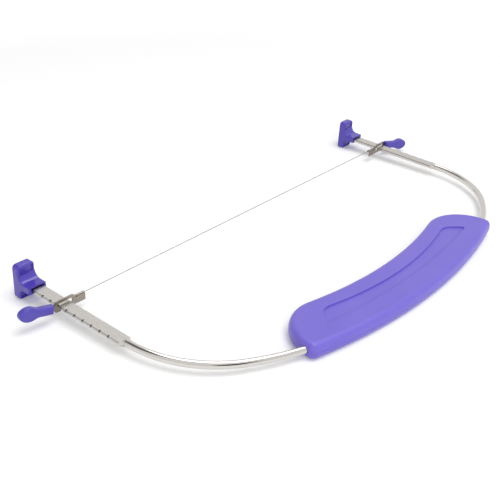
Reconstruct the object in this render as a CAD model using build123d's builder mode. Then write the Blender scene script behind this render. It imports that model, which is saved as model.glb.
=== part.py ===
from build123d import *
from math import acos, asin, atan2, cos, degrees, hypot, radians, sin
import os

# Millimetres. The tool is drawn flat: X runs across it along the cutting wire, Y from the handle
# (minus) to the feet (plus), and Z = 0 is the middle of the arms. At the end it is laid on its side
# as it lies on a table, resting on the edge of the handle and on both feet.

# The bow: one round steel rod, bent like a saw frame and pressed flat along both arms
rod_diameter = 6.35
arm_spacing = 451.0
arm_width = 11.3
arm_thickness = 3.0
arm_bevel = 0.6
arm_tip = 10.0
bend_start = -103.8
press_run_out = 3.5
corner_radius = 91.4
corner_turn = 57.05
shoulder_radius = 207.0
shoulder_turn = 18.97

# Notches in the outer edge of each arm, three eighths of an inch apart, over three inches
notch_count = 9
notch_pitch = 9.525
first_notch = -12.4
notch_width = 1.4
notch_depth = 1.65
used_notch = 2

# The handle: two crescent shells clamped round the back of the bow
handle_half_thickness = 7.0
handle_rim_radius = 4.5
rim_steps = 2
handle_inner_radius = 400.0
handle_inner_middle = -180.0
handle_outer_radius = 553.0
handle_outer_middle = -229.0
handle_inner_end_x = 138.0
handle_outer_end_x = 142.0
handle_inner_corner = 38.0
handle_outer_corner = 6.0

# Inside the shells: a hollow between cross ribs, and pins moulded on one shell for sockets in the other
hollow_wall = 5.0
hollow_outer_middle = -214.0
hollow_end_x = 92.0
handle_roof = 2.6
rib_count = 3
rib_pitch = 46.0
rib_thickness = 2.0
rib_reach = 80.0
pin_x = 69.0
pin_diameter = 3.0
pin_height = 3.0
pin_inset = 2.6
channel_turn = 4.0
end_hole_turn = 5.0
end_hole_reach = 5.0
end_hole_clearance = 0.1

# The thumb recess in the top and bottom of the handle
recess_depth = 1.0
recess_inner_radius = 345.0
recess_inner_middle = -197.2
recess_outer_radius = 640.0
recess_outer_middle = -208.8
recess_inner_end_x = 95.5
recess_outer_end_x = 110.5
recess_inner_corner = 14.0
recess_outer_corner = 2.0

# The feet: a moulded plate with a sleeve that the flat end of the arm is pushed into
foot_width = 16.8
foot_height = 30.8
foot_thickness = 7.2
foot_back = 19.8
foot_middle_z = 2.2
foot_offset = 0.6
foot_corner = 3.5
foot_edge = 1.2
sleeve_top = 4.0
sleeve_bottom = -2.7
sleeve_fillet = 6.0
sleeve_sweep = 80.0
sleeve_edge = 0.8
mouth_width = 12.6
mouth_top = 2.5
mouth_depth = 3.2
panel_depth = 1.0
panel_margin = 2.1

# The clips: flat steel, with a slot round the arm and a rolled eye for the wire
clip_thickness = 1.0
clip_level = 0.5
slot_half_height = 2.3
slot_inner_reach = 8.5
slot_corner = 2.0
clip_bar = 2.7
clip_heel = 4.3
clip_toe = 3.3
ring_corner = 4.6
rest_gap = 0.2
tab_start = 13.4
tab_end = 21.4
tab_bottom = -4.8
tang_length = 10.0
tang_width = 4.2
tang_overlap = 0.5

# The wire and the stops crimped on its ends
wire_diameter = 0.7
wire_level = 1.0
wire_clearance = 0.07
eye_radius = 1.35
stop_radius = 0.8
stop_length = 3.0
stop_gap = 0.1

# The knobs: a straight shank that swells into an oval bulb, flat on both cheeks and bevelled round them
knob_length = 29.5
knob_gap = 0.4
knob_half_thickness = 3.8
knob_bevel = 1.6
shank_half_width = 3.6
neck_start = 11.5
bulb_half_width = 5.9
bulb_middle = 21.3
bulb_side_radius = 10.0

# The clips' tangs are bent a little by use: each knob's swing towards the handle, and its rise, in degrees
left_bend = (-7.0, 10.0)
right_bend = (20.0, -6.0)

half_spacing = arm_spacing / 2
clip_y = first_notch - used_notch * notch_pitch
wire_y = clip_y + clip_thickness / 2 + stop_radius + stop_gap
shoulder_start = 90 - corner_turn
back_turn = shoulder_start - shoulder_turn
shoulder_middle_x = (half_spacing - corner_radius
                     + (corner_radius - shoulder_radius) * sin(radians(shoulder_start)))
back_radius = shoulder_radius + shoulder_middle_x / sin(radians(back_turn))
pieces = {}


def arc_y(radius, middle, x):
    """Y at x of a wide arc that bulges towards the handle's outer side"""
    return middle + radius - (radius * radius - x * x) ** 0.5


def crescent(inner, outer, inner_x, outer_x):
    """Closed outline between two wide arcs, each given as a radius and its lowest point"""
    a = (-inner_x, arc_y(*inner, inner_x))
    b = (inner_x, arc_y(*inner, inner_x))
    c = (outer_x, arc_y(*outer, outer_x))
    d = (-outer_x, arc_y(*outer, outer_x))
    ThreePointArc(a, (0, inner[1]), b)
    Line(b, c)
    ThreePointArc(c, (0, outer[1]), d)
    Line(d, a)


def arm_section():
    """The flat arm's section, with its four long edges bevelled"""
    wide = arm_width / 2
    high = arm_thickness / 2
    corner = [(wide - arm_bevel, high), (wide, high - arm_bevel)]
    half = corner + [(a, -b) for a, b in reversed(corner)]
    Polygon(*half, *[(-a, -b) for a, b in half], align=None)


# The bow: the bent rod, and on each end a flat arm with its row of notches
with BuildPart() as bow_frame:
    with BuildLine() as bow_line:
        turn_1 = JernArc((-half_spacing, bend_start), (0, -1), corner_radius, corner_turn)
        turn_2 = JernArc(turn_1 @ 1, turn_1 % 1, shoulder_radius, shoulder_turn)
        turn_3 = JernArc(turn_2 @ 1, turn_2 % 1, back_radius, 2 * back_turn)
        turn_4 = JernArc(turn_3 @ 1, turn_3 % 1, shoulder_radius, shoulder_turn)
        JernArc(turn_4 @ 1, turn_4 % 1, corner_radius, corner_turn)
    with BuildSketch(Plane(origin=bow_line.line @ 0, z_dir=(0, -1, 0))):
        Circle(rod_diameter / 2)
    sweep()
    flat_start = bend_start + press_run_out
    for side in (-1, 1):
        x = side * half_spacing
        # the short run-out where the press let go: the rod slopes down to the flat, which narrows to it
        with BuildSketch(Plane(origin=(x, bend_start, 0), x_dir=(1, 0, 0), z_dir=(0, -1, 0))):
            Circle(rod_diameter / 2)
        extrude(amount=-press_run_out)
        for up in (-1, 1):
            with BuildSketch(Plane(origin=(x, 0, 0), x_dir=(0, 1, 0), z_dir=(1, 0, 0))):
                Polygon((bend_start, up * rod_diameter / 2), (flat_start, up * rod_diameter / 2),
                        (flat_start, up * arm_thickness / 2), align=None)
            extrude(amount=rod_diameter, both=True, mode=Mode.SUBTRACT)
        with BuildSketch():
            Polygon((x - rod_diameter / 2, bend_start), (x + rod_diameter / 2, bend_start),
                    (x + arm_width / 2, flat_start), (x - arm_width / 2, flat_start), align=None)
        extrude(amount=arm_thickness / 2, both=True)
        with BuildSketch(Plane(origin=(x, flat_start, 0), x_dir=(1, 0, 0), z_dir=(0, -1, 0))):
            arm_section()
        extrude(amount=-(arm_tip - flat_start))
        notch_middle = first_notch - (notch_count - 1) / 2 * notch_pitch
        with BuildSketch():
            with Locations((x + side * arm_width / 2, notch_middle)):
                with GridLocations(0, notch_pitch, 1, notch_count):
                    Rectangle(2 * notch_depth, notch_width)
        extrude(amount=arm_thickness, both=True, mode=Mode.SUBTRACT)
pieces["bow_frame"] = bow_frame

# The handle shells: one crescent, rounded, recessed, hollowed and pinned, above and below the middle
inner_arc = (handle_inner_radius, handle_inner_middle)
outer_arc = (handle_outer_radius, handle_outer_middle)
ribs = [((i - (rib_count - 1) / 2) * rib_pitch, handle_inner_middle) for i in range(rib_count)]
pins = [(x, arc_y(*inner_arc, x) - pin_inset) for x in (-pin_x, pin_x)]
end_hole_share = end_hole_turn / shoulder_turn
channel_start = 1 - channel_turn / shoulder_turn
with BuildLine() as channel_line:
    channel_1 = JernArc(turn_2 @ channel_start, turn_2 % channel_start, shoulder_radius, channel_turn)
    channel_2 = JernArc(channel_1 @ 1, channel_1 % 1, back_radius, 2 * back_turn)
    JernArc(channel_2 @ 1, channel_2 % 1, shoulder_radius, channel_turn)
for name, up in (("handle_upper_shell", 1), ("handle_lower_shell", -1)):
    with BuildPart() as shell:
        with BuildSketch() as outline:
            with BuildLine():
                crescent(inner_arc, outer_arc, handle_inner_end_x, handle_outer_end_x)
            make_face()
            fillet(outline.vertices().group_by(Axis.Y)[-1], handle_inner_corner)
            fillet(outline.vertices().group_by(Axis.Y)[0], handle_outer_corner)
        # the rim, rounded in flat steps
        straight = handle_half_thickness - handle_rim_radius
        extrude(amount=up * straight)
        for step in range(rim_steps + 1):
            turn = radians(90 * step / rim_steps)
            with BuildSketch(Plane.XY.offset(up * (straight + handle_rim_radius * sin(turn)))):
                add(outline.sketch)
                if step > 0:
                    offset(amount=handle_rim_radius * (cos(turn) - 1), kind=Kind.INTERSECTION)
        loft(ruled=True)
        # the thumb recess
        with BuildSketch(Plane.XY.offset(up * handle_half_thickness)) as thumb:
            with BuildLine():
                crescent((recess_inner_radius, recess_inner_middle),
                         (recess_outer_radius, recess_outer_middle), recess_inner_end_x, recess_outer_end_x)
            make_face()
            fillet(thumb.vertices().group_by(Axis.Y)[-1], recess_inner_corner)
            fillet(thumb.vertices().group_by(Axis.Y)[0], recess_outer_corner)
        extrude(amount=-up * recess_depth, mode=Mode.SUBTRACT)
        # the hollow between the inner wall and the rod, left in pockets between the ribs
        with BuildSketch():
            with BuildLine():
                crescent((handle_inner_radius, handle_inner_middle - hollow_wall),
                         (back_radius, hollow_outer_middle), hollow_end_x, hollow_end_x)
            make_face()
            with Locations(*ribs):
                Rectangle(rib_thickness, rib_reach, mode=Mode.SUBTRACT)
        extrude(amount=up * (handle_half_thickness - handle_roof), mode=Mode.SUBTRACT)
        # the channel for the rod, square along the back and round through both ends
        with BuildSketch(Plane(origin=channel_line.line @ 0, z_dir=channel_line.line % 0)):
            Rectangle(rod_diameter, rod_diameter)
        sweep(path=channel_line.line, mode=Mode.SUBTRACT)
        for turn, share in ((turn_2, 1 - end_hole_share), (turn_4, end_hole_share)):
            with BuildSketch(Plane(origin=turn @ share, z_dir=turn % share)):
                Circle(rod_diameter / 2 + end_hole_clearance)
            extrude(amount=end_hole_reach, both=True, mode=Mode.SUBTRACT)
        with BuildSketch():
            with Locations(*pins):
                Circle(pin_diameter / 2)
        if up > 0:
            extrude(amount=pin_height, mode=Mode.SUBTRACT)
        else:
            extrude(amount=pin_height)
    pieces[name] = shell

# The feet, one on the end of each arm
for name, side in (("left_foot", -1), ("right_foot", 1)):
    x = side * half_spacing
    foot_x = x + side * foot_offset
    front = foot_back - foot_thickness
    facing = Plane(origin=(foot_x, front, foot_middle_z), x_dir=(1, 0, 0), z_dir=(0, -1, 0))
    with BuildPart() as foot:
        with BuildSketch(facing):
            RectangleRounded(foot_width, foot_height, foot_corner)
        extrude(amount=-foot_thickness)
        chamfer(foot.faces().sort_by(Axis.Y)[0].edges(), foot_edge)
        # the sleeve, seen from the side: a flat-topped tongue that sweeps up and down into the plate
        with BuildSketch(Plane(origin=(foot_x, 0, 0), x_dir=(0, 1, 0), z_dir=(1, 0, 0))):
            with BuildLine():
                deep = front + foot_edge
                Line((0, sleeve_bottom), (0, sleeve_top))
                top = Line((0, sleeve_top), (front - sleeve_fillet, sleeve_top))
                rise = JernArc(top @ 1, (1, 0), sleeve_fillet, sleeve_sweep)
                Line(rise @ 1, (deep, (rise @ 1).Y))
                low = Line((0, sleeve_bottom), (front - sleeve_fillet, sleeve_bottom))
                fall = JernArc(low @ 1, (1, 0), sleeve_fillet, -sleeve_sweep)
                Line(fall @ 1, (deep, (fall @ 1).Y))
                Line((deep, (rise @ 1).Y), (deep, (fall @ 1).Y))
            make_face()
        extrude(amount=foot_width / 2, both=True)
        chamfer(foot.edges().filter_by(Axis.Y).filter_by_position(Axis.Y, 0, front / 2), sleeve_edge)
        # sunk panels on the front of the plate, above and below the sleeve
        panel_top = foot_height / 2 - panel_margin
        for low_z, high_z in ((sleeve_top + sleeve_fillet - foot_middle_z, panel_top),
                              (-panel_top, sleeve_bottom - sleeve_fillet - foot_middle_z)):
            with BuildSketch(facing):
                with Locations((0, (low_z + high_z) / 2)):
                    Rectangle(foot_width - 2 * panel_margin, high_z - low_z)
            extrude(amount=-panel_depth, mode=Mode.SUBTRACT)
        # the mouth, open above the arm, and the tight socket behind it
        mouth_bottom = -arm_thickness / 2
        with BuildSketch(Plane(origin=(x, 0, (mouth_top + mouth_bottom) / 2), x_dir=(1, 0, 0), z_dir=(0, -1, 0))):
            Rectangle(mouth_width, mouth_top - mouth_bottom)
        extrude(amount=-mouth_depth, mode=Mode.SUBTRACT)
        with BuildSketch(Plane(origin=(x, 0, 0), x_dir=(1, 0, 0), z_dir=(0, -1, 0))):
            arm_section()
        extrude(amount=-arm_tip, mode=Mode.SUBTRACT)
    pieces[name] = foot

def tang_plane(side, bend):
    """The plane of a clip's bent tang: x runs out from the ring's heel, and y points up"""
    swing, rise = (radians(angle) for angle in bend)
    outward = (side * cos(swing) * cos(rise), -sin(swing) * cos(rise), sin(rise))
    normal = (-sin(swing), -side * cos(swing), 0)
    return Plane(origin=(side * (half_spacing - heel), clip_y, clip_level), x_dir=outward, z_dir=normal)


# The wire clips. At rest they are eased outwards, just clear of the notches.
slot_outer = -(arm_width / 2 + rest_gap)
heel = slot_outer - clip_heel
toe = slot_inner_reach + clip_toe
ring_half_height = slot_half_height + clip_bar
for name, side, bend in (("left_clip", -1, left_bend), ("right_clip", 1, right_bend)):
    # local x points inwards from the arm, local y points up
    sheet = Plane(origin=(side * half_spacing, clip_y, 0), x_dir=(-side, 0, 0), z_dir=(0, side, 0))
    with BuildPart() as clip:
        with BuildSketch(sheet):
            with Locations(((heel + toe) / 2, clip_level)):
                RectangleRounded(toe - heel, 2 * ring_half_height, ring_corner)
            # the tab under the rolled eye
            with BuildLine():
                Polyline((slot_inner_reach, wire_level), (tab_end, wire_level), (tab_end, tab_bottom),
                         (slot_inner_reach, clip_level - ring_half_height), close=True)
            make_face()
        extrude(amount=clip_thickness / 2, both=True)
        # the slot round the arm: square at the outer end, which drops into a notch, and round inside
        with BuildSketch(sheet) as slot:
            with Locations(((slot_outer + slot_inner_reach) / 2, clip_level)):
                Rectangle(slot_inner_reach - slot_outer, 2 * slot_half_height)
            fillet(slot.vertices().group_by(Axis.X)[-1], slot_corner)
        extrude(amount=clip_thickness, both=True, mode=Mode.SUBTRACT)
        # the tang that the knob is moulded on
        with BuildSketch(tang_plane(side, bend)):
            with Locations(((tang_length - tang_overlap) / 2, 0)):
                Rectangle(tang_length + tang_overlap, tang_width)
        extrude(amount=clip_thickness / 2, both=True)
        # the rolled eye along the top of the tab, on the far side of the sheet
        eye_start = Plane(origin=(side * (half_spacing - tab_start), wire_y, wire_level), x_dir=(0, 1, 0),
                          z_dir=(-side, 0, 0))
        with BuildSketch(eye_start):
            Circle(eye_radius)
        extrude(amount=tab_end - tab_start)
        with BuildSketch(eye_start):
            Circle(wire_diameter / 2 + wire_clearance)
        extrude(amount=tab_end - tab_start, mode=Mode.SUBTRACT)
    pieces[name] = clip

# The knobs, moulded round the clips' tangs
end_length = knob_length - bulb_middle
side_depth = bulb_side_radius - bulb_half_width
end_radius = ((bulb_side_radius ** 2 - end_length ** 2 - side_depth ** 2)
              / (2 * (bulb_side_radius - end_length)))
neck_length = bulb_middle - neck_start
neck_depth = shank_half_width + side_depth
neck_radius = ((neck_length ** 2 + neck_depth ** 2 - bulb_side_radius ** 2)
               / (2 * (bulb_side_radius - neck_depth)))
neck_turn = degrees(asin(neck_length / (neck_radius + bulb_side_radius)))
end_turn = degrees(atan2(end_length - end_radius, side_depth))
for name, side, bend in (("left_knob", -1, left_bend), ("right_knob", 1, right_bend)):
    outward = tang_plane(side, bend)
    with BuildPart() as knob:
        with BuildSketch(outward):
            with BuildLine():
                Polyline((knob_gap, 0), (knob_gap, shank_half_width), (neck_start, shank_half_width))
                neck = JernArc((neck_start, shank_half_width), (1, 0), neck_radius, neck_turn)
                bulb = JernArc(neck @ 1, neck % 1, bulb_side_radius, -neck_turn - end_turn)
                JernArc(bulb @ 1, bulb % 1, end_radius, end_turn - 90)
                mirror(about=Plane.XZ)
            make_face()
        extrude(amount=knob_half_thickness, both=True)
        cheeks = knob.faces().filter_by(Axis(outward.origin, outward.z_dir))
        chamfer(cheeks.edges(), knob_bevel)
        with BuildSketch(outward):
            Rectangle(tang_length, tang_width, align=(Align.MIN, Align.CENTER))
        extrude(amount=clip_thickness / 2, both=True, mode=Mode.SUBTRACT)
    pieces[name] = knob

# The cutting wire, taut between the two clips, with a stop crimped on each end
stop_start = half_spacing - tab_start + stop_gap
with BuildPart() as cutting_wire:
    with BuildSketch(Plane(origin=(-stop_start, wire_y, wire_level), x_dir=(0, 1, 0), z_dir=(1, 0, 0))):
        Circle(wire_diameter / 2)
    extrude(amount=2 * stop_start)
pieces["cutting_wire"] = cutting_wire

with BuildPart() as wire_stops:
    for side in (-1, 1):
        with BuildSketch(Plane(origin=(side * stop_start, wire_y, wire_level), x_dir=(0, 1, 0), z_dir=(side, 0, 0))):
            Circle(stop_radius)
        extrude(amount=stop_length)
pieces["wire_stops"] = wire_stops

# Laid down: the tool tips about X until the handle's edge and the feet are on one level
handle_contact_y = handle_outer_middle + handle_rim_radius
handle_contact_z = handle_rim_radius - handle_half_thickness
foot_contact_y = foot_back - foot_thickness + foot_edge
foot_contact_z = foot_middle_z - foot_height / 2 + foot_edge
span = foot_contact_y - handle_contact_y
drop = handle_contact_z - foot_contact_z
lean = acos((handle_rim_radius - foot_edge) / hypot(span, drop)) - atan2(span, drop)
tipped = Rot(X=degrees(lean))
box = Compound([tipped * piece.part for piece in pieces.values()]).bounding_box()
resting = Pos(0, -box.center().Y, -box.min.Z) * tipped

os.makedirs("parts", exist_ok=True)
for name, piece in pieces.items():
    piece.part = resting * piece.part
    piece.part.label = name
    export_step(piece.part, f"parts/{name}.step")

print("back of the bow, radius", round(back_radius, 2))
print("lean", round(degrees(lean), 4), "moved by", -box.center().Y, -box.min.Z)
print("size", box.size)
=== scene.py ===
# %% [markdown]
# # A cake leveler on a white table
# The tool is a bow of steel rod, bent like a saw frame. It has a moulded grip on its back, two moulded
# feet, and a cutting wire that two slotted clips hold between its notched arms. The solids come ready made
# from the CAD model. This script rounds the mouldings as their moulds do, gives every part the finish of
# its real material, and lights and frames the tool as a catalogue does.

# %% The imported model
import bmesh
import bpy
from math import cos, degrees, radians, sin, sqrt
from mathutils import Matrix, Vector


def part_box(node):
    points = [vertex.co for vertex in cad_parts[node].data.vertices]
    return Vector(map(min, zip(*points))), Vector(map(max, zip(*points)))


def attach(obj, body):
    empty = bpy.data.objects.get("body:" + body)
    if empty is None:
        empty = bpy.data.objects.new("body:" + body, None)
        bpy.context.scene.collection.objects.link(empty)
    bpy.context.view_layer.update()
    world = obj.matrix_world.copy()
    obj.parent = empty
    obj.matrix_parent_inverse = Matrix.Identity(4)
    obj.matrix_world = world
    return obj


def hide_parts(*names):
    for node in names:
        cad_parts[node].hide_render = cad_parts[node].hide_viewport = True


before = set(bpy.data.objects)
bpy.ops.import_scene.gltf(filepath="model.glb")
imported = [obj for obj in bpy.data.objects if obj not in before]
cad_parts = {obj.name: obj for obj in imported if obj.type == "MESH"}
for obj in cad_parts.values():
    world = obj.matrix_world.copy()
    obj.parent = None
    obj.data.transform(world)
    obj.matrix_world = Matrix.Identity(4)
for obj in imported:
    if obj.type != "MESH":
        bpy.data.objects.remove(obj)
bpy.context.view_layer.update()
mm = 0.001
print("solids:", ", ".join(sorted(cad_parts)))

# %% [markdown]
# ## Where the tool lies
# The tool was drawn flat and then tipped a little, so that it rests on the grip's edge and on both feet.
# This matrix does the same, so a place can be written as on the flat drawing: X across the tool, Y from the
# grip to the feet, and Z up from the middle of the steel.

# %% The laid-down frame
lean = radians(1.4901)
laid_down = Matrix.Translation(Vector((0, 104.4255, 12.8367)) * mm) @ Matrix.Rotation(lean, 4, "X")
flat_again = laid_down.inverted()
print("lean in degrees:", round(degrees(lean), 2))

# %% [markdown]
# ## The camera
# The photograph was taken from the left of the grip, a little above the table, with an ordinary lens. The
# angles and the distance were found by fitting the bow's curve to its outline in the picture. A camera
# looks along its own -Z, so its three axes are built from those angles and set as a matrix.

# %% The camera
camera_azimuth = radians(-50.889)
camera_elevation = radians(28.955)
camera_roll = radians(2.228)
camera_distance = 744.1 * mm
camera_target = Vector((-60.7, 23.2, 13.0)) * mm
picture_width = 500
focal_pixels = 852.9
sensor_width = 36.0

back = Vector((sin(camera_azimuth) * cos(camera_elevation),
               -cos(camera_azimuth) * cos(camera_elevation), sin(camera_elevation)))
level = Vector((cos(camera_azimuth), sin(camera_azimuth), 0))
upright = back.cross(level)
right = level * cos(camera_roll) + upright * sin(camera_roll)
top = upright * cos(camera_roll) - level * sin(camera_roll)
turn = Matrix((right, top, back)).transposed().to_4x4()

camera_data = bpy.data.cameras.new("camera")
camera_data.sensor_width = sensor_width
camera_data.lens = focal_pixels * sensor_width / picture_width
camera_data.clip_start = 10 * mm
camera = bpy.data.objects.new("camera", camera_data)
camera.matrix_world = Matrix.Translation(camera_target + back * camera_distance) @ turn
bpy.context.collection.objects.link(camera)
bpy.context.scene.camera = camera
print("lens in mm:", round(camera_data.lens, 2))

# %% [markdown]
# ## Colours and nodes
# Colours are written as they are picked on a screen, in sRGB, and one function turns them into the linear
# values that a shader wants. A second one adds a node. Its inputs come in a dictionary, as pairs of a
# socket's name or number and a value, or another node's output to link, and its settings as keywords. The
# short ones after it empty a node tree, blend two colours, make a noise, and end a material's tree.


# %% Helpers for colours and nodes
def colour(code):
    """The linear colour of an sRGB hex value such as "#8070C8\""""
    parts = [int(code[i:i + 2], 16) / 255 for i in (1, 3, 5)]
    return [p / 12.92 if p <= 0.04045 else ((p + 0.055) / 1.055) ** 2.4 for p in parts] + [1.0]


def add(tree, kind, inputs, **settings):
    """A new node with its inputs set or linked"""
    node = tree.nodes.new(kind)
    for name, value in settings.items():
        setattr(node, name, value)
    for socket, value in inputs.items():
        if isinstance(value, bpy.types.NodeSocket):
            tree.links.new(value, node.inputs[socket])
        else:
            node.inputs[socket].default_value = value
    return node


def new_tree(owner):
    """The emptied node tree of a material or a world"""
    owner.use_nodes = True
    owner.node_tree.nodes.clear()
    return owner.node_tree


def mix(tree, share, first, second):
    """The output of a node that blends two colours by a share"""
    return add(tree, "ShaderNodeMix", {0: share, 6: first, 7: second}, data_type="RGBA").outputs[2]


def noise(tree, place, size, detail):
    """The output of a noise node whose marks are as wide as a size in millimetres"""
    node = add(tree, "ShaderNodeTexNoise", {"Vector": place, "Scale": 1 / (size * mm), "Detail": detail})
    return node.outputs[0]


def end_tree(tree, tone, rough, height, strength, depth, constants):
    """Ends a material with a relief, its depth in millimetres, and a shader with its plain constants"""
    relief = add(tree, "ShaderNodeBump", {"Strength": strength, "Distance": depth * mm, "Height": height})
    inputs = {"Base Color": tone, "Roughness": rough, "Normal": relief.outputs[0], **constants}
    shader = add(tree, "ShaderNodeBsdfPrincipled", inputs)
    add(tree, "ShaderNodeOutputMaterial", {"Surface": shader.outputs[0]})


# %% [markdown]
# ## The table
# Such pictures are taken on a white paper sweep, lit until it is pure white. Here the floor is matt and
# nearly white. For the camera, and for what the steel mirrors, it gets a little brighter, so that it reads
# as white paper while the pale shadows stay. The lift grows with the distance from the tool, where less
# lamp light falls. It adds no light to the tool.

# %% The white sweep
floor_size = 8.0
paper_white = "#F4F4F4"
paper_lift = 0.12
far_lift = 0.8
lift_begins = 0.7
lift_ends = 2.5

bpy.ops.object.select_all(action="DESELECT")
bpy.ops.mesh.primitive_plane_add(size=floor_size, location=(0, 0, 0))
floor = bpy.context.object
floor.name = "white_sweep"
sweep_paper = bpy.data.materials.new("matt_white_paper")
tree = new_tree(sweep_paper)
rays = add(tree, "ShaderNodeLightPath", {})
seen = add(tree, "ShaderNodeMath", {0: rays.outputs["Is Camera Ray"], 1: rays.outputs["Is Glossy Ray"]})
spot = add(tree, "ShaderNodeTexCoord", {}).outputs["Object"]
away = add(tree, "ShaderNodeVectorMath", {0: spot}, operation="LENGTH").outputs["Value"]
needed = add(tree, "ShaderNodeMapRange", {0: away, 1: lift_begins, 2: lift_ends, 3: paper_lift, 4: far_lift})
lift = add(tree, "ShaderNodeMath", {0: seen.outputs[0], 1: needed.outputs[0]}, operation="MULTIPLY")
paper = add(tree, "ShaderNodeBsdfDiffuse", {"Color": colour(paper_white)})
glow = add(tree, "ShaderNodeEmission", {"Strength": lift.outputs[0]})
both = add(tree, "ShaderNodeAddShader", {0: paper.outputs[0], 1: glow.outputs[0]})
add(tree, "ShaderNodeOutputMaterial", {"Surface": both.outputs[0]})
floor.data.materials.append(sweep_paper)
print("sweep in m:", floor_size)

# %% [markdown]
# ## The lamps
# The pale shadows in the photograph lie right under the steel, so the main lamp hangs overhead and a little
# towards the viewer. It is large and far away, which keeps the light even and the shadows soft. A second
# lamp of its size stands further back and is only mirrored: the round rod shows it as one long white
# streak. A weaker lamp fills the sides that face the viewer. It stands for light that a white wall throws
# back, so the steel doesn't mirror it.


# %% The lamps
def lamp(name, place, width, height, power):
    """A soft rectangular lamp that looks at the middle of the table, in metres and watts"""
    data = bpy.data.lights.new(name, "AREA")
    data.shape = "RECTANGLE"
    data.size = width
    data.size_y = height
    data.energy = power
    made = bpy.data.objects.new(name, data)
    made.location = place
    made.rotation_euler = (-Vector(place)).to_track_quat("-Z", "Y").to_euler()
    bpy.context.collection.objects.link(made)
    return made


softbox_width = 2.4
softbox_depth = 1.8
softbox_power = 48
fill_size = 1.0
fill_power = 12
softbox = lamp("overhead_softbox", (0.1, -0.9, 3.0), softbox_width, softbox_depth, softbox_power)
softbox.visible_glossy = False
mirrored = lamp("mirrored_softbox", (0.8, 0.4, 3.0), softbox_width, softbox_depth, softbox_power)
mirrored.visible_diffuse = False
front_fill = lamp("front_fill", (-1.1, -1.5, 0.9), fill_size, fill_size, fill_power)
front_fill.visible_glossy = False
print("lamps:", softbox.name, mirrored.name, front_fill.name)

# %% [markdown]
# ## The room
# Polished steel has little colour of its own and mostly shows the room. The room is white, apart from two
# soft dark places. The grey one is the gap between the softbox and the far wall. It darkens the top of the
# rod near each arm, and the arms' long bevels. The darker one stands to the right of the viewer and makes
# the short dark streak in the middle of the rod. Each is drawn on the world as a direction, the two angles
# in degrees where its soft round edge ends and begins, and a tone. The camera itself sees plain white.

# %% The room on the world
ambient_strength = 0.56
dark_places = (((-0.27, 0.55, 0.79), 30, 17, "#747474"), ((-0.40, -0.78, 0.49), 20, 10, "#2C2C2C"))

world = bpy.data.worlds.new("studio")
bpy.context.scene.world = world
tree = new_tree(world)
path = add(tree, "ShaderNodeLightPath", {})
direction = add(tree, "ShaderNodeTexCoord", {}).outputs["Generated"]
room = colour("#F6F6F6")
for towards, outer, inner, shade in dark_places:
    centre = Vector(towards).normalized()
    facing = add(tree, "ShaderNodeVectorMath", {0: direction, 1: centre}, operation="DOT_PRODUCT")
    inputs = {0: facing.outputs["Value"], 1: cos(radians(outer)), 2: cos(radians(inner))}
    share = add(tree, "ShaderNodeMapRange", inputs, interpolation_type="SMOOTHSTEP")
    room = mix(tree, share.outputs[0], room, colour(shade))
ambient = [ambient_strength] * 3 + [1]
mirrored_room = mix(tree, path.outputs["Is Glossy Ray"], ambient, room)
seen_room = mix(tree, path.outputs["Is Camera Ray"], mirrored_room, [1, 1, 1, 1])
sky = add(tree, "ShaderNodeBackground", {"Color": seen_room})
add(tree, "ShaderNodeOutputWorld", {"Surface": sky.outputs[0]})
bpy.context.scene.view_settings.view_transform = "Standard"
print("dark places:", len(dark_places), "ambient:", ambient_strength)

# %% [markdown]
# ## Steel
# The bow is one stainless rod. It is drawn through a die and polished, so it is nearly a mirror. Both arms
# were pressed flat and then ground along their length, which leaves fine lines and a softer shine. Real
# grinding lines are about 0.05 mm wide and too fine to show, so they are drawn 0.5 mm wide. One material
# covers the whole bow, and the distance along the arm tells ground steel from polished steel. The cut
# notches are never ground. Where little of the room reaches the steel, as in the notches, its colour is
# darkened as painted shade.

# %% The bow's steel
arm_begins = 0.6
ground_from = arm_begins - 6
ground_fully = arm_begins + 1
line_width = 0.5
line_length = 25.0
line_depth = 0.02
notch_reach = 1.5
open_notch = 0.75
dark_notch = 0.35
polished_rough = 0.09
ground_rough = 0.34

bow_steel = bpy.data.materials.new("stainless_rod_polished_arms_ground")
tree = new_tree(bow_steel)
place = add(tree, "ShaderNodeTexCoord", {}).outputs["Object"]
along = add(tree, "ShaderNodeSeparateXYZ", {0: place}).outputs[1]
ground = add(tree, "ShaderNodeMapRange", {0: along, 1: ground_from * mm, 2: ground_fully * mm}).outputs[0]
drawn_out = add(tree, "ShaderNodeMapping", {0: place, 3: (1, line_width / line_length, 1)}).outputs[0]
lines = noise(tree, drawn_out, line_width, 2.0)
streaks = add(tree, "ShaderNodeMath", {0: lines, 1: ground}, operation="MULTIPLY").outputs[0]
tone = mix(tree, streaks, colour("#D2CECA"), colour("#B9B5B0"))
# Painted shade: the AO node finds where little of the room reaches the steel, as in the notches, and there
# the colour is darkened towards #3A3835.
open_sky = add(tree, "ShaderNodeAmbientOcclusion", {"Distance": notch_reach * mm}, samples=8).outputs["AO"]
hollow = add(tree, "ShaderNodeMapRange", {0: open_sky, 1: open_notch, 2: dark_notch}).outputs[0]
tone_with_painted_shade = mix(tree, hollow, tone, colour("#3A3835"))
rough = add(tree, "ShaderNodeMapRange", {0: streaks, 1: 0.0, 2: 0.7, 3: polished_rough, 4: ground_rough})
end_tree(tree, tone_with_painted_shade, rough.outputs[0], streaks, 0.25, line_depth, {"Metallic": 1.0})
print("arms ground from Y =", arm_begins, "mm")

# %% [markdown]
# The clips are stamped from a plainer strip steel, darker and a little brown, with the faint cloudy stains
# of its rolling. The wire is drawn spring steel. It is thinner than a pixel here, so its colour is dark
# enough to show as one even line. Rolling marks are a few tenths of a millimetre, drawn at 0.6 mm.

# %% Strip steel and wire
mark_depth = 0.02


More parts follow.
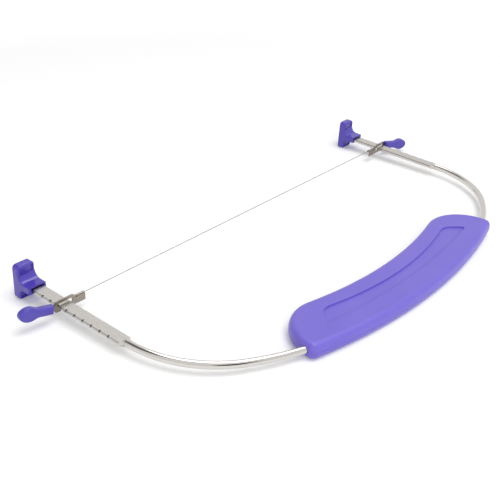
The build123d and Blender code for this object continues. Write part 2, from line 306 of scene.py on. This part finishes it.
def rolled_steel(name, main, deep, roughness, mark_size, stretch):
    """Dull steel with cloudy marks, their size in millimetres, drawn out along the axes by the stretch"""
    material = bpy.data.materials.new(name)
    tree = new_tree(material)
    place = add(tree, "ShaderNodeTexCoord", {}).outputs["Object"]
    drawn_out = add(tree, "ShaderNodeMapping", {0: place, 3: stretch}).outputs[0]
    marks = noise(tree, drawn_out, mark_size, 4.0)
    tone = mix(tree, marks, colour(deep), colour(main))
    rough = add(tree, "ShaderNodeMapRange", {0: marks, 3: roughness - 0.08, 4: roughness + 0.08})
    end_tree(tree, tone, rough.outputs[0], marks, 0.3, mark_depth, {"Metallic": 1.0})
    return material


clip_steel = rolled_steel("strip_steel_rolled", "#A8A097", "#857D74", 0.3, 0.6, (0.2, 1, 1))
wire_steel = rolled_steel("spring_steel_drawn", "#A5A19B", "#97938D", 0.3, 0.4, (0.1, 1, 1))
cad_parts["cutting_wire"].material_slots[0].material = wire_steel
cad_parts["wire_stops"].material_slots[0].material = clip_steel
print("steels:", bow_steel.name, clip_steel.name, wire_steel.name)

# %% [markdown]
# ## Moulded plastic
# The grip is ABS from a finely sparked mould. It is satin rather than glossy, because the grain breaks up
# every reflection. The feet and the knobs are polypropylene from a smoother mould, so they shine more and
# look deeper. Real grain is about 0.1 mm and too fine to show here, so it is drawn at 0.6 to 0.8 mm.

# %% Plastics
cloud_size = 30
grain_depth = 0.04
plastic_ior = 1.53


def moulded_plastic(name, main, deep, roughness, shine, grain_size, relief):
    """Plastic with two close tones in soft clouds and the grain of its mould, sizes in millimetres"""
    material = bpy.data.materials.new(name)
    tree = new_tree(material)
    place = add(tree, "ShaderNodeTexCoord", {}).outputs["Object"]
    clouds = noise(tree, place, cloud_size, 2.0)
    tone = mix(tree, clouds, colour(deep), colour(main))
    grain = noise(tree, place, grain_size, 3.0)
    rough = add(tree, "ShaderNodeMapRange", {0: grain, 3: roughness - 0.05, 4: roughness + 0.05})
    constants = {"Specular IOR Level": shine, "IOR": plastic_ior}
    end_tree(tree, tone, rough.outputs[0], grain, relief, grain_depth, constants)
    return material


grip_abs = moulded_plastic("abs_sparked_satin", "#7769CC", "#6C5EC4", 0.36, 0.35, 0.6, 0.2)
foot_polypropylene = moulded_plastic("polypropylene_semi_gloss", "#5040B0", "#4938A4", 0.17, 0.5, 0.8, 0.08)
knob_polypropylene = moulded_plastic("polypropylene_satin", "#5144AC", "#4A3EA2", 0.34, 0.45, 0.7, 0.15)
print("plastics:", grip_abs.name, foot_polypropylene.name, knob_polypropylene.name)

# %% [markdown]
# ## Rounded mouldings
# A moulded part has no sharp outer edge, because the mould's own edges are cut round. The CAD solids have
# plain bevels there to stay light. Each moulding is therefore copied, its triangles are merged back into
# flat faces, and its outward edges are bevelled in edit mode. Which ones is told by how far an edge bends
# and by where it lies. A face with a hole in it can't be bevelled well, so a copy with such faces is first
# cut along its middle, through the holes. Weighted normals then keep the flats flat.

# %% Copying and rounding
merge_gap = 0.002
flat_bend = 0.5
square_bends = (80, 100)


def copy_of(node, name, split=False):
    """A copy of a CAD node with whole faces, cut down its middle if asked, left in edit mode"""
    bpy.ops.object.select_all(action="DESELECT")
    piece = bpy.data.objects.new(name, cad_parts[node].data.copy())
    bpy.context.collection.objects.link(piece)
    piece.select_set(True)
    bpy.context.view_layer.objects.active = piece
    bpy.ops.mesh.customdata_custom_splitnormals_clear()
    bpy.ops.object.mode_set(mode="EDIT")
    bpy.ops.mesh.select_all(action="SELECT")
    bpy.ops.mesh.remove_doubles(threshold=merge_gap * mm)
    if split:
        low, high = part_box(node)
        bpy.ops.mesh.bisect(plane_co=((low[0] + high[0]) / 2, 0, 0), plane_no=(1, 0, 0))
        bpy.ops.mesh.mark_seam()
    bpy.ops.mesh.select_all(action="SELECT")
    bpy.ops.mesh.dissolve_limited(angle_limit=radians(flat_bend), delimit={"SEAM"})
    bpy.ops.mesh.select_all(action="DESELECT")
    return piece


def round_edges(bends, width, steps, where):
    """Bevels the outward edges that bend by an angle between the two given and lie where the test says"""
    bpy.ops.mesh.select_mode(type="EDGE")
    bpy.ops.mesh.select_all(action="DESELECT")
    mesh = bmesh.from_edit_mesh(bpy.context.object.data)
    chosen = 0
    for edge in mesh.edges:
        if len(edge.link_faces) != 2 or not edge.is_convex:
            continue
        middle = flat_again @ ((edge.verts[0].co + edge.verts[1].co) / 2) / mm
        if bends[0] < degrees(edge.calc_face_angle()) < bends[1] and where(middle):
            edge.select_set(True)
            chosen += 1
    bmesh.update_edit_mesh(bpy.context.object.data)
    bpy.ops.mesh.bevel(offset=width * mm, segments=steps, profile=0.5, clamp_overlap=False)
    bpy.ops.mesh.select_all(action="DESELECT")
    print("  rounded", chosen, "edges by", width, "mm")


def finish_piece(piece, material, body, node, smooth=50):
    """Leaves edit mode, smooths bends under an angle, and hands the piece over in place of its CAD node"""
    bpy.ops.object.mode_set(mode="OBJECT")
    bpy.ops.object.shade_smooth_by_angle(angle=radians(smooth))
    bpy.ops.object.modifier_add(type="WEIGHTED_NORMAL")
    piece.modifiers[-1].keep_sharp = True
    bpy.ops.object.modifier_apply(modifier=piece.modifiers[-1].name)
    piece.data.materials.clear()
    piece.data.materials.append(material)
    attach(piece, body)
    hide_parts(node)
    print(piece.name, "faces", len(piece.data.polygons))


# %% [markdown]
# ### The bent rod
# A polished rod is a mirror, and a mirror shows every facet. The rod is therefore made again with more
# faces, in the way that a bender works: a round section is swung about one centre after the other. The five
# arcs meet without a kink, so each centre lies square to the path where the last arc ended. An arc is
# written as its radius in millimetres, its angle in degrees and its number of steps. The spin's axis points
# down, which swings the section round towards the grip.

# %% The bent rod
rod_radius = 3.175
rod_sides = 32
half_spacing = 225.5
bend_start = -103.8
arcs = ((91.4, 57.05, 24), (207.0, 18.97, 10), (501.82, 27.96, 28), (207.0, 18.97, 10), (91.4, 57.05, 24))

bpy.ops.object.select_all(action="DESELECT")
bpy.ops.mesh.primitive_circle_add(vertices=rod_sides, radius=rod_radius * mm, rotation=(radians(90), 0, 0),
                                  location=(-half_spacing * mm, bend_start * mm, 0))
rod = bpy.context.object
rod.name = "bow_rod_and_arms"
bpy.ops.object.transform_apply(location=True, rotation=True, scale=False)
bpy.ops.object.mode_set(mode="EDIT")
bpy.ops.mesh.select_all(action="SELECT")
spot = Vector((-half_spacing, bend_start, 0))
across = Vector((1, 0, 0))
for radius, swept, steps in arcs:
    centre = spot + across * radius
    bpy.ops.mesh.spin(steps=steps, angle=radians(swept), center=centre * mm, axis=(0, 0, -1))
    swing = Matrix.Rotation(radians(swept), 3, "Z")
    spot = centre + swing @ (spot - centre)
    across = swing @ across
bpy.ops.mesh.select_all(action="DESELECT")
bpy.ops.mesh.select_mode(type="EDGE")
bpy.ops.mesh.select_non_manifold()
bpy.ops.mesh.fill_holes(sides=0)
bpy.ops.mesh.select_all(action="SELECT")
bpy.ops.mesh.normals_make_consistent(inside=False)
bpy.ops.object.mode_set(mode="OBJECT")
rod.matrix_world = laid_down
bpy.ops.object.transform_apply(location=True, rotation=True, scale=False)
print("the rod ends at", [round(value, 2) for value in spot], "with", len(rod.data.polygons), "faces")

# %% [markdown]
# ### The pressed arms
# The arms keep their CAD shape. The bow is copied and cut square where the bending starts, its bent part is
# thrown away, and what is left is joined to the new rod. Bends under 25 degrees are shaded smooth, and the
# arms' bevels and the crisp shoulders where the press let go stay sharp.

# %% The pressed arms
arms = copy_of("bow_frame", "arms")
bpy.ops.mesh.select_all(action="SELECT")
cut_place = laid_down @ Vector((0, bend_start * mm, 0))
towards_feet = laid_down.to_3x3() @ Vector((0, 1, 0))
bpy.ops.mesh.bisect(plane_co=cut_place, plane_no=towards_feet, clear_inner=True, use_fill=True)
bpy.ops.object.mode_set(mode="OBJECT")
rod.select_set(True)
bpy.context.view_layer.objects.active = rod
bpy.ops.object.join()
bpy.ops.object.mode_set(mode="EDIT")
finish_piece(rod, bow_steel, "frame", "bow_frame", smooth=25)

# %% [markdown]
# ### The grip
# The grip's two shells have a wide soft rim, a thumb recess with a crisp step, and a thin parting line
# where they meet. The CAD rim is three bends of 22 and 45 degrees. Rounding each of them gives one soft
# quarter turn. The recess keeps nearly sharp edges, and the outer parting edges are only just broken. The
# two arcs of the crescent tell them from the edges of the hollow inside. The recess's floor is sunk 0.6 mm
# more than in CAD, because the photograph shows its step as a line two pixels wide.

# %% The grip's shells
rim_bends = (19, 50)
rim_low = 2.0
rim_high = 6.5
border_low = 6.9
rim_round = 1.3
border_round = 0.7
recess_round = 0.3
seam_break = 0.15
wall = 2.5
recess_sunk = 0.6
top_level = 7.0
top_slack = 0.05
recess_level = 6.0
level_slack = 0.02
feet_arc_centre = 220
feet_arc_radius = 400
back_arc_centre = 324
back_arc_radius = 553
hollow_half = 128


def behind_wall(place):
    """Whether a place on the flat drawing, in mm, lies inside the grip's outer wall"""
    feet_side = feet_arc_centre - sqrt(feet_arc_radius ** 2 - place.x ** 2)
    back_side = back_arc_centre - sqrt(back_arc_radius ** 2 - place.x ** 2)
    return back_side + wall < place.y < feet_side - wall and abs(place.x) < hollow_half


for name, up in (("handle_upper_shell", 1), ("handle_lower_shell", -1)):
    shell = copy_of(name, name.replace("shell", "moulding"), split=True)
    mesh = bmesh.from_edit_mesh(shell.data)
    for corner in mesh.verts:
        corner.select_set(abs(up * (flat_again @ corner.co).z / mm - recess_level) < level_slack)
    bmesh.update_edit_mesh(shell.data)
    down = laid_down.to_3x3() @ Vector((0, 0, -up * recess_sunk * mm))
    bpy.ops.transform.translate(value=down)
    round_edges(rim_bends, rim_round, 3, lambda p: rim_low < up * p.z < rim_high)
    round_edges(rim_bends, border_round, 2, lambda p: up * p.z > border_low)
    round_edges(square_bends, recess_round, 2, lambda p: abs(up * p.z - top_level) < top_slack)
    round_edges(square_bends, seam_break, 1, lambda p: abs(p.z) < level_slack and not behind_wall(p))
    finish_piece(shell, grip_abs, "frame", name)

# %% [markdown]
# ### The feet
# Each foot is one moulding: a plate that stands on the table, and a sleeve that is pushed on to the arm.
# The plate's front rim and the sleeve have small bevels in CAD, which are rounded here. The plate's back
# rim and the sunk panels have square edges there and get a small round of their own.

# %% The feet
plate_front = 12.6
plate_back = 19.8
sleeve_ends = plate_front - 3
edge_slack = 0.1
bevel_bends = (30, 60)
front_round = 0.45
sleeve_round = 0.3
back_round = 0.7
for name in ("left_foot", "right_foot"):
    foot = copy_of(name, name + "_moulding", split=True)
    round_edges(bevel_bends, front_round, 3, lambda p: p.y > plate_front - edge_slack)
    round_edges(bevel_bends, sleeve_round, 3, lambda p: p.y < sleeve_ends)
    round_edges(square_bends, back_round, 3, lambda p: p.y > plate_back - edge_slack / 2)
    finish_piece(foot, foot_polypropylene, "frame", name)

# %% [markdown]
# ### The knobs
# A knob is an oval grip with flat cheeks and a waist, moulded on to the clip's tang. Its cheeks' borders
# stay just visible in the photograph, so its bevels are rounded but not blended away.

# %% The knobs
knob_bends = (30, 70)
knob_round = 0.45
for name, body in (("left_knob", "left_clip_set"), ("right_knob", "right_clip_set")):
    knob = copy_of(name, name + "_moulding")
    round_edges(knob_bends, knob_round, 3, lambda p: True)
    finish_piece(knob, knob_polypropylene, body, name)

# %% [markdown]
# ### The clips
# A clip is stamped from one strip of steel and tumbled, which breaks its edges by a tenth or two of a
# millimetre. The thin bright line along such an edge is what makes sheet metal look real.

# %% The clips
clip_bends = (60, 120)
edge_break = 0.15
for name, body in (("left_clip", "left_clip_set"), ("right_clip", "right_clip_set")):
    clip = copy_of(name, name + "_stamping", split=True)
    round_edges(clip_bends, edge_break, 2, lambda p: True)
    finish_piece(clip, clip_steel, body, name)
